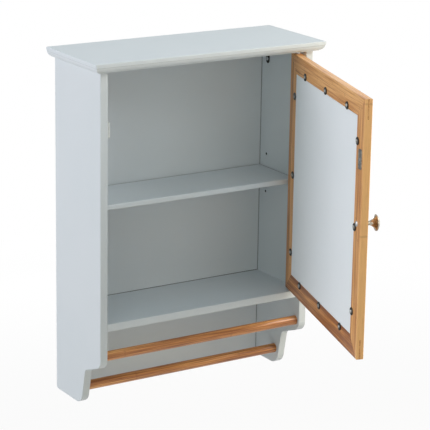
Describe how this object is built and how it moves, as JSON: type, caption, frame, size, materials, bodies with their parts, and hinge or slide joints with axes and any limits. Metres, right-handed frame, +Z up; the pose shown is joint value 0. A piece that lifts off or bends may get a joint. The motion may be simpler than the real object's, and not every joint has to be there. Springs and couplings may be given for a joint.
{
  "type": "bathroom wall cabinet",
  "caption": "Wall-hung bathroom cabinet with a moulded top, bamboo-framed mirror door on pivots, adjustable shelf and round towel rails between curved side feet.",
  "frame": {"origin": "on the wall plane, midway between the round holes of the two keyhole hanger plates in the side panels' rear edges", "axes": "+X to the cabinet's right as seen from the front, -Y out of the wall towards the user, +Z up"},
  "size_m": [0.484, 0.5541, 0.6585],
  "materials": {
    "pale_paint": "satin pale blue-grey paint over board",
    "bamboo": "lacquered caramel bamboo with long grain lines",
    "beech": "plain turned dowel",
    "dark_steel": "dark plated steel",
    "zinc_steel": "bright zinc-plated steel",
    "mirror": "silvered float glass",
    "grey_board": "pale grey hardboard",
    "polished_metal": "polished nickel-like plating",
    "white_plastic": "white moulded plastic",
    "ferrite": "black sintered magnet",
    "nylon": "natural nylon"
  },
  "bodies": {
    "cabinet": {"left_side_panel": "pale_paint", "right_side_panel": "pale_paint", "top_panel": "pale_paint", "bottom_panel": "pale_paint", "back_panel": "pale_paint", "shelf_pins": "zinc_steel", "front_towel_rail": "bamboo", "rear_towel_rail": "bamboo", "top_dowels": "beech", "bottom_dowels": "beech", "corner_bracket_left": "dark_steel", "corner_bracket_right": "dark_steel", "corner_bracket_screws": "zinc_steel", "hanger_plate_left": "zinc_steel", "hanger_plate_right": "zinc_steel", "hanger_screws": "zinc_steel", "catch_body": "white_plastic", "catch_magnet": "ferrite", "catch_poles": "zinc_steel", "catch_screws": "zinc_steel", "upper_pivot_socket": "nylon", "lower_pivot_socket": "nylon", "pivot_washer": "nylon"},
    "shelf": {"adjustable_shelf": "pale_paint"},
    "door": {"hinge_stile": "bamboo", "latch_stile": "bamboo", "door_top_rail": "bamboo", "door_bottom_rail": "bamboo", "mitre_keys": "bamboo", "mirror_glass": "mirror", "mirror_backing_board": "grey_board", "mirror_clips": "dark_steel", "mirror_clip_screws": "zinc_steel", "knob": "polished_metal", "knob_screw": "zinc_steel", "strike_plate": "zinc_steel", "strike_screw": "zinc_steel", "upper_pivot_pin": "zinc_steel", "lower_pivot_pin": "zinc_steel"}
  },
  "joints": [
    {"name": "door_hinge", "type": "hinge", "parent": "cabinet", "child": "door", "pos_m": [0.1945, -0.1665, 0], "axis": [0, 0, 1], "range_deg": [-73, 62]},
    {"name": "shelf_lift", "type": "slide", "parent": "cabinet", "child": "shelf", "axis": [0, 0, 1], "range_m": [0, 0.0375]}
  ]
}
